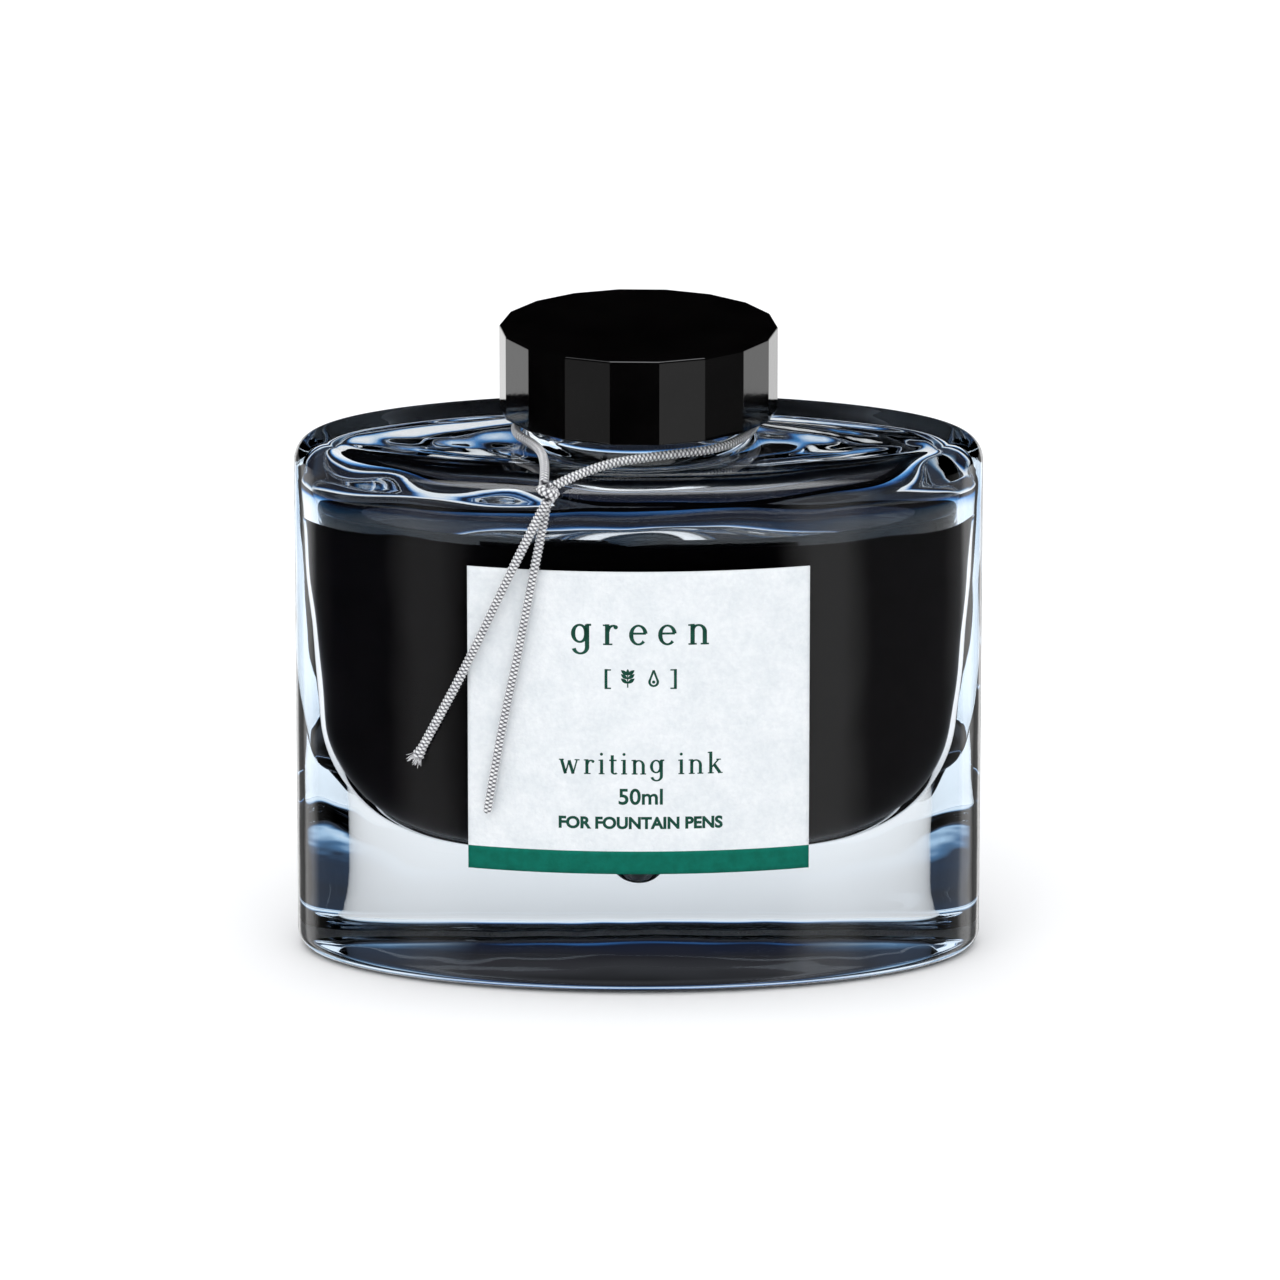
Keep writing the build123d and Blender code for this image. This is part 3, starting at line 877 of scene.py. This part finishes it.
def cap_rings():
    """From under the cap's top, down its bore, round the lower edge, up the sides and over the top edge."""
    outline = facet_outline(0)
    angle = np.arctan2(outline[:, 1], outline[:, 0])
    circle = np.stack([np.cos(angle), np.sin(angle)], -1)
    ceiling = CAP_HIGH - CAP_TOP_WALL
    rings = [(circle * CAP_BORE * share, ceiling) for share in (0.3, 0.7, 0.97)]
    bore_z = (ceiling, ceiling - 0.3, (ceiling + CAP_LOW) / 2, CAP_LOW + 0.3)
    rings += [(circle * CAP_BORE, z) for z in bore_z]
    rings += [(circle * (CAP_BORE + out), CAP_LOW + rise) for out, rise in ((0, 0.12), (0.12, 0))]
    lower_edge = ((0.15, 0), (0.05, 0.04), (0, 0.15), (0, 0.4))
    rings += [(facet_outline(inset), CAP_LOW + rise) for inset, rise in lower_edge]
    rings += [(outline, CAP_HIGH - CAP_EDGE - CAP_EDGE_KEEP)]
    for turn in np.radians(np.linspace(0, 90, 7)):
        inset = CAP_EDGE * (1 - math.cos(turn))
        rings += [(facet_outline(inset), CAP_HIGH - CAP_EDGE * (1 - math.sin(turn)))]
    top = facet_outline(CAP_EDGE + CAP_EDGE_KEEP)
    rings += [(top * share, CAP_HIGH) for share in (1, 0.9, 0.5, 0.2)]
    return np.array([np.column_stack([flat, np.full(len(flat), z)]) for flat, z in rings]) * MM


def make_cap(look):
    points, faces = skin_over_rings(cap_rings(), on_axis(CAP_HIGH - CAP_TOP_WALL), on_axis(CAP_HIGH))
    obj = solid("cap", points, faces, look, "cap", "cap")
    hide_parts("cap_shell")


# ---------------------------------------------------------------- cord

CORD = 1.1 * MM
STRANDS = 3  # that wind each way round
LAY = 1.5 * MM  # length in which a strand winds once round
RELIEF = 0.20 * MM  # depth of the grooves between strands
CORD_COLUMNS = 48
CORD_STEP = 0.065 * MM


def in_metres(*points):
    return [tuple(c * MM for c in p) for p in points]


LEFT_TAIL = in_metres(
    (-10.46, -21.4, 60.2),
    (-12.41, -21.0, 56.17),
    (-15.77, -19.8, 48.79),
    (-19.15, -18.6, 41.0),
    (-22.3, -17.55, 34.42),
    (-25.47, -16.3, 28.13),
)
RIGHT_TAIL = in_metres(
    (-10.4, -20.15, 59.9),
    (-11.16, -20.1, 55.6),
    (-12.44, -19.95, 49.09),
    (-13.73, -19.7, 41.95),
    (-15.13, -19.4, 35.38),
    (-16.43, -19.12, 28.41),
    (-17.49, -18.88, 21.92),
)
LOOP_RADIUS = 15.7
LOOP_Z = 63.6
LOOP = in_metres(
    (-10.85, -19.65, 61.75),
    (-10.6, -16.6, 62.95),
    (-11.4, -9.6, 63.3),
    *[
        (LOOP_RADIUS * math.cos(math.radians(a)), LOOP_RADIUS * math.sin(math.radians(a)), LOOP_Z)
        for a in (195, 135, 75, 15, -45)
    ],
    (1.6, -14.6, 63.55),
    (-5.2, -17.1, 63.05),
    (-9.65, -20.0, 61.55),
)


def smooth_line(name, points):
    """Points along the smooth line that a cord follows."""
    curve = bpy.data.curves.new(name, "CURVE")
    curve.dimensions = "3D"
    curve.resolution_u = 24
    spline = curve.splines.new("NURBS")
    spline.points.add(len(points) - 1)
    for place, point in zip(spline.points, points):
        place.co = (*point, 1)
    spline.order_u = 3
    spline.use_endpoint_u = True
    source = bpy.data.objects.new(name, curve)
    mesh = bpy.data.meshes.new_from_object(source)
    line = np.array([v.co for v in mesh.vertices], float)
    bpy.data.objects.remove(source)
    bpy.data.curves.remove(curve)
    bpy.data.meshes.remove(mesh)
    return line


def weave(turn, along):
    """The height of a braid, 0 to 1: strands wind both ways round the cord and pass over each other in turn,
    so its face is diamond pads. Each is half a circle across its strand and half a sine wave along it."""
    right = STRANDS * (turn + along / LAY)
    left = STRANDS * (turn - along / LAY)
    over = (np.floor(right) + np.floor(left)) % 2 == 0
    across = np.where(over, right, left) % 1
    lengthwise = np.where(over, left, right) % 1
    return np.sqrt(np.clip(1 - (2 * across - 1) ** 2, 0, 1)) * (0.5 + 0.5 * np.sin(math.pi * lengthwise))


def braid(name, line, reference, look, swell=None):
    """A braided cord: a tube round a line, whose radius is the weave's. Each cross-section stands square to
    the line, turned to a fixed direction. Swell scales the radius by the distance from the far end."""
    gaps = np.linalg.norm(np.diff(line, axis=0), axis=1)
    reach = np.concatenate([[0], np.cumsum(gaps)])
    along = np.linspace(0, reach[-1], int(reach[-1] / CORD_STEP))
    centre = np.stack([np.interp(along, reach, axis) for axis in line.T], -1)
    heading = np.gradient(centre, axis=0)
    heading /= np.linalg.norm(heading, axis=1, keepdims=True)
    side = np.cross(heading, reference)
    side /= np.linalg.norm(side, axis=1, keepdims=True)
    up = np.cross(side, heading)
    turn = np.linspace(0, 1, CORD_COLUMNS, endpoint=False)[None, :]
    height = weave(turn, along[:, None])
    radius = CORD / 2 - RELIEF * (1 - height)
    if swell is not None:
        radius = radius * swell(along[-1] - along)[:, None]
    angle = 2 * math.pi * turn[..., None]
    out = np.cos(angle) * side[:, None] - np.sin(angle) * up[:, None]
    rings = centre[:, None] + radius[..., None] * out
    points, faces = skin_over_rings(rings, centre[0], centre[-1])
    obj = solid(name, points, faces, look, "bottle", "cord")
    keep_weave(obj, np.append(height, [0.2, 0.2]))
    return obj, centre


def keep_weave(obj, height):
    """Stores the weave's height at each point, from which the yarn's material paints shade in the grooves
    and a highlight on the strands' tops.
    """
    data = obj.data.attributes.new("weave", "FLOAT", "POINT").data
    data.foreach_set("value", height.astype(np.float32))


def rounded_end(distance):
    """A cord's cut end, drawn in over its last 0.45 mm."""
    return np.sqrt(np.clip(1 - (1 - np.clip(distance / (0.45 * MM), 0, 1)) ** 2 * 0.8, 0.05, 1))


def opened_end(distance):
    """A cord's end where the braid has let go: it widens over its last millimetre and a half."""
    return 1 + 0.38 * np.clip(1 - distance / (1.5 * MM), 0, 1) ** 1.5


def make_fray(line, look):
    """Loose ends of yarn that spread out of the cord's end: thin tapered tubes that start in the braid."""
    rng = np.random.default_rng(7)
    count, steps, sides = 46, 7, 5
    tuck = 0.5 * MM
    heading = line[-1] - line[-6]
    heading /= np.linalg.norm(heading)
    side = np.cross(heading, (0, 1, 0))
    side /= np.linalg.norm(side)
    up = np.cross(side, heading)
    angle = rng.uniform(0, 2 * math.pi, count)
    start = np.sqrt(rng.uniform(0, 1, count)) * 0.48 * MM
    spread = start * rng.uniform(0.5, 1.5, count)
    length = rng.uniform(0.5, 1.25, count) * MM
    outward = np.cos(angle)[:, None] * side + np.sin(angle)[:, None] * up
    share = np.linspace(0, 1, steps)[None, :, None]
    root = line[-1] - heading * tuck
    curl = rng.normal(0, 0.07 * MM, (count, 1, 3)) * share**2
    bend = start[:, None, None] + spread[:, None, None] * share**1.6
    middle = root + bend * outward[:, None] + (length[:, None, None] + tuck) * share * heading + curl
    thick = 0.06 * MM * (1 - 0.5 * share[..., None])
    ring = np.linspace(0, 2 * math.pi, sides, endpoint=False)[:, None]
    offset = np.cos(ring) * side - np.sin(ring) * up
    rings = middle[:, :, None] + thick * offset
    hairs = [skin_over_rings(rings[i], middle[i, 0], middle[i, -1]) for i in range(count)]
    obj = solid("fray", *gathered(hairs), look, "bottle", "cord")
    # Each hair's value climbs from 0.35 at its root to 0.95 at its tip, so the yarn's material paints shade
    # where it leaves the braid and a highlight towards its tip.
    keep_weave(obj, np.tile(np.append(np.repeat(np.linspace(0.35, 0.95, steps), sides), [0.3, 0.9]), count))
    return obj


KNOT_CENTRE = np.array([-10.35, -20.75, 61.0])
KNOT_TILT = math.radians(28)
KNOT_RADIUS = 0.86
KNOT_LENGTH = 0.95


def knot_line():
    """One and a half turns of cord drawn tight round the crossing, with both ends tucked in."""
    angle = np.radians(np.linspace(-60, 480, 60))
    share = np.linspace(0, 1, 60)
    radius = KNOT_RADIUS * np.sin(math.pi * np.clip(share, 0.12, 0.88)) ** 0.25
    x, y, z = radius * np.cos(angle), radius * np.sin(angle), KNOT_LENGTH * (share - 0.5)
    c, s = math.cos(KNOT_TILT), math.sin(KNOT_TILT)
    return (KNOT_CENTRE + np.stack([x * c + z * s, y, -x * s + z * c], -1)) * MM


def make_cords(look):
    left, path = braid("tail_left", smooth_line("left", LEFT_TAIL), (0, 1, 0), look, opened_end)
    fray = make_fray(path, look)
    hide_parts("cord_tail_left")
    right, path = braid("tail_right", smooth_line("right", RIGHT_TAIL), (0, 1, 0), look, rounded_end)
    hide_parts("cord_tail_right")
    loop, _ = braid("loop", smooth_line("loop", LOOP), (0, 0, 1), look)
    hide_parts("cord_loop")
    knot, _ = braid("knot", knot_line(), (0, 0, 1), look)
    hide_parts("cord_knot")


# ---------------------------------------------------------------- the whole object


def dress(name, look):
    """Gives a CAD node its finish."""
    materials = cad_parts[name].data.materials
    materials.clear()
    materials.append(look)


make_cords(cord_material())
make_bottle()
make_ink()
make_label(paper_material())
GREEN_TEXT = print_material("green_print", (0.006, 0.05, 0.032), (0.012, 0.075, 0.05))
make_words(GREEN_TEXT)
make_line("label_volume", "50ml", *VOLUME_LINE, GREEN_TEXT)
make_line("label_use", "FOR FOUNTAIN PENS", *USE_LINE, GREEN_TEXT)
make_band(print_material("green_band", (0.0002, 0.115, 0.078), (0.0008, 0.14, 0.098)))
make_cap(cap_material())
dress("cap_insert", moulded_material("cap_inside", (0.02, 0.02, 0.022), (0.035, 0.035, 0.038), 0.35))
dress("cap_liner", moulded_material("liner_foam", (0.72, 0.72, 0.69), (0.84, 0.84, 0.81), 0.6))


# ---------------------------------------------------------------- studio

# How the table shows through the glass, by distance from the bottle's middle in metres: white beside it,
# then a painted blue light, then painted shade.
TABLE_THROUGH_GLASS = [
    (0.0, 1.0), (0.12, 1.0), (0.15, (0.66, 0.80, 0.95)), (0.18, (0.08, 0.30, 0.66)),
    (0.22, (0.012, 0.06, 0.20)), (0.27, (0.008, 0.010, 0.016)), (0.5, (0.006, 0.006, 0.008)),
    (1.0, (0.006, 0.006, 0.008)),
]


def make_floor():
    """A wide white table, with blue light and shade painted on it by distance where it is seen through the
    glass. Gloss doesn't mirror it.
    """
    size = 6.0
    corners = np.array([[-size, -size, 0], [size, -size, 0], [size, size, 0], [-size, size, 0]])
    look, tree, shader = material("white_table", Roughness=0.7, Specular_IOR_Level=0.1)
    cloud = use_group(tree, MOTTLE, Scale=3.0, Dark=(0.9, 0.9, 0.9, 1), Light=(0.92, 0.92, 0.92, 1))
    where = node(tree, "ShaderNodeTexCoord")
    length = node(tree, "ShaderNodeVectorMath", operation="LENGTH")
    tree.links.new(where.outputs["Object"], length.inputs[0])
    away = ramp(tree, TABLE_THROUGH_GLASS, length.outputs["Value"])
    path = node(tree, "ShaderNodeLightPath")
    painted_light_through_glass = blended(tree, path.outputs["Is Transmission Ray"], (1, 1, 1, 1), away)
    tree.links.new(multiplied(tree, cloud.outputs["Color"], painted_light_through_glass), shader.inputs["Base Color"])
    floor = solid("floor", corners, [[0, 1, 2, 3]], look, None, None)
    floor.visible_glossy = False


def soft_sun(name, azimuth, elevation, spread, strength):
    """A broad even white light from one side, seen by matt surfaces only. Angles are in degrees."""
    data = bpy.data.lights.new(name, "SUN")
    data.energy = strength
    data.angle = math.radians(spread)
    lamp = bpy.data.objects.new(name, data)
    lamp.rotation_euler = (math.radians(90 - elevation), 0, math.radians(azimuth))
    lamp.visible_glossy = False
    lamp.visible_transmission = False
    bpy.context.scene.collection.objects.link(lamp)


# The studio round the object. A bearing is in degrees, 0 towards the front and 90 to the right. A height
# runs from 0, straight down, through 0.5 at the horizon to 1, straight up.

# What gloss mirrors, by bearing: a few grey and white strips between dark walls.
CARDS = [
    (-180, 0.1), (-172, 0.2), (-167, 1.4), (-158, 1.4), (-148, 0.3), (-134, 0.3), (-128, 1.6), (-116, 1.4),
    (-106, 0.1), (-88, 0.0), (-56, 0.02), (-47, 0.32), (-40, 0.32), (-32, 0.01), (26, 0.0), (33, 0.62),
    (41, 0.62), (50, 0.10), (88, 0.10), (106, 0.4), (112, 1.6), (124, 1.6), (134, 0.3), (148, 0.3),
    (153, 1.4), (162, 1.4), (172, 0.2), (180, 0.1),
]
CARDS_BY_HEIGHT = [(0.0, 1.0), (0.47, 1.0), (0.5, 0.0), (1.0, 0.0)]
# The soft box high in front, which gloss mirrors too.
BOX_BY_HEIGHT = [(0.0, 0.0), (0.80, 0.0), (0.84, 1.0), (0.95, 1.0), (0.97, 0.0)]
BOX_BY_BEARING = [(-180, 0.0), (-60, 0.0), (-45, 1.0), (45, 1.0), (60, 0.0), (180, 0.0)]
BOX_LIGHT = (4.8, 4.9, 5.0, 1)
# What shows through the glass, by height: white, then blue, then dark, with the change higher at the sides.
BEHIND = [
    (0.0, (0.92, 0.96, 1.0)), (0.53, (0.90, 0.94, 0.98)), (0.555, (0.42, 0.60, 0.84)),
    (0.575, (0.04, 0.15, 0.40)), (0.60, (0.010, 0.014, 0.03)), (0.68, (0.022, 0.022, 0.026)),
    (0.76, (0.04, 0.04, 0.044)), (0.84, 0.004),
]
BESIDE = [
    (0.0, (0.92, 0.96, 1.0)), (0.56, (0.90, 0.95, 1.0)), (0.60, (0.50, 0.66, 0.82)),
    (0.63, (0.10, 0.20, 0.34)), (0.66, (0.035, 0.05, 0.08)), (0.76, (0.04, 0.04, 0.045)), (0.86, 0.004),
]
BESIDE_BY_BEARING = [
    (-180, 0.0), (-166, 0.0), (-150, 1.0), (-70, 1.0), (-40, 0.0), (40, 0.0), (70, 1.0), (150, 1.0),
    (166, 0.0),
]
MATT_LIGHT = (0.45, 0.46, 0.48, 1)
WHITE = (1.0, 1.0, 1.0, 1)


def make_world():
    """A studio told by direction. Gloss sees the cards and the soft box; clear glass sees the surround that
    turns dark overhead; matt surfaces get an even light; the rest is white."""
    world = bpy.data.worlds.new("studio")
    world.use_nodes = True
    world.cycles.sampling_method = "NONE"
    tree = world.node_tree
    where = node(tree, "ShaderNodeTexCoord")
    split = node(tree, "ShaderNodeSeparateXYZ")
    tree.links.new(where.outputs["Generated"], split.inputs[0])
    x, y, z = split.outputs
    turn = reckon(tree, "ARCTAN2", x, reckon(tree, "MULTIPLY", y, -1.0))
    bearing = reckon(tree, "MULTIPLY_ADD", turn, 1 / (2 * math.pi), 0.5)
    height = reckon(tree, "MULTIPLY_ADD", z, 0.5, 0.5)

    def by_bearing(stops):
        return ramp(tree, [(0.5 + degrees / 360, value) for degrees, value in stops], bearing)

    cards = multiplied(tree, by_bearing(CARDS), ramp(tree, CARDS_BY_HEIGHT, height))
    box = multiplied(tree, ramp(tree, BOX_BY_HEIGHT, height), by_bearing(BOX_BY_BEARING))
    gloss = blended(tree, 1.0, cards, multiplied(tree, box, BOX_LIGHT), "ADD")
    behind, beside = ramp(tree, BEHIND, height), ramp(tree, BESIDE, height)
    through = blended(tree, by_bearing(BESIDE_BY_BEARING), behind, beside)
    path = node(tree, "ShaderNodeLightPath")
    seen = blended(tree, path.outputs["Is Transmission Ray"], gloss, through)
    seen = blended(tree, path.outputs["Is Diffuse Ray"], seen, MATT_LIGHT)
    seen = blended(tree, path.outputs["Is Camera Ray"], seen, WHITE)
    tree.links.new(seen, tree.nodes["Background"].inputs["Color"])
    bpy.context.scene.world = world


make_floor()
soft_sun("overhead", azimuth=0, elevation=80, spread=110, strength=2.7)
soft_sun("front", azimuth=-25, elevation=35, spread=60, strength=0.35)
make_world()
bpy.context.scene.view_settings.view_transform = "Standard"
